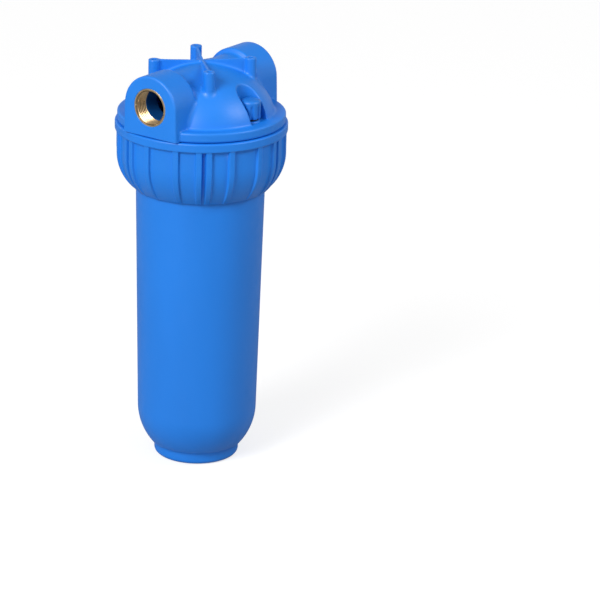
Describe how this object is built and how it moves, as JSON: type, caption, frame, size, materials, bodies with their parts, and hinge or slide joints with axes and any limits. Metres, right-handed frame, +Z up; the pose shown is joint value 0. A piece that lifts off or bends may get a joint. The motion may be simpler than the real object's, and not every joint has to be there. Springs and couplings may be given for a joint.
{
  "type": "cartridge filter housing",
  "caption": "Upright water filter housing: domed two-port head, ribbed ring nut, drop-in bowl, vent screw and pleated cartridge.",
  "frame": {"origin": "middle of the bowl's foot, on the surface it stands on", "axes": "+Z up along the housing's axis; X through the two ports, with the inlet at -X and the outlet at +X; the vent screw is on the -Y side"},
  "size_m": [0.132, 0.132, 0.3197],
  "materials": {
    "head_plastic": "satin moulded polypropylene, blue",
    "nut_plastic": "satin moulded polypropylene, blue",
    "bowl_plastic": "satin moulded polypropylene, blue",
    "knob_plastic": "satin moulded polypropylene, blue",
    "insert_brass": "turned",
    "seal_rubber": "matt black",
    "cartridge_plastic": "matt white",
    "filter_media": "pleated polyester"
  },
  "bodies": {
    "bowl": {"bowl": "bowl_plastic", "bowl_o_ring": "seal_rubber", "cartridge_media": "filter_media", "cartridge_core": "cartridge_plastic", "cartridge_sleeve": "cartridge_plastic", "cartridge_top_cap": "cartridge_plastic", "cartridge_bottom_cap": "cartridge_plastic", "cartridge_top_gasket": "seal_rubber", "cartridge_bottom_gasket": "seal_rubber"},
    "ring_nut": {"ring_nut": "nut_plastic"},
    "head": {"head": "head_plastic", "inlet_insert": "insert_brass", "outlet_insert": "insert_brass"},
    "vent_seal": {"vent_o_ring": "seal_rubber"},
    "vent_screw": {"vent_screw": "knob_plastic"}
  },
  "joints": [
    {"name": "ring_nut_turn", "type": "hinge", "parent": "bowl", "child": "ring_nut", "pos_m": [0, 0, 0.25], "axis": [0, 0, -1], "range_deg": [0, 1260]},
    {"name": "head_lift", "type": "slide", "parent": "bowl", "child": "head", "axis": [0, 0, 1], "range_m": [0, 0.0211]},
    {"name": "vent_rise", "type": "slide", "parent": "head", "child": "vent_seal", "axis": [0, 0, 1], "range_m": [0, 0.00625]},
    {"name": "vent_turn", "type": "hinge", "parent": "vent_seal", "child": "vent_screw", "pos_m": [0, -0.046, 0.285], "axis": [0, 0, 1], "range_deg": [0, 1801]}
  ],
  "couplings": [
    {"joint": "head_lift", "follows": "ring_nut_turn", "m_per_rad": 0.00095493},
    {"joint": "vent_turn", "follows": "vent_rise", "rad_per_m": 5026.5}
  ]
}
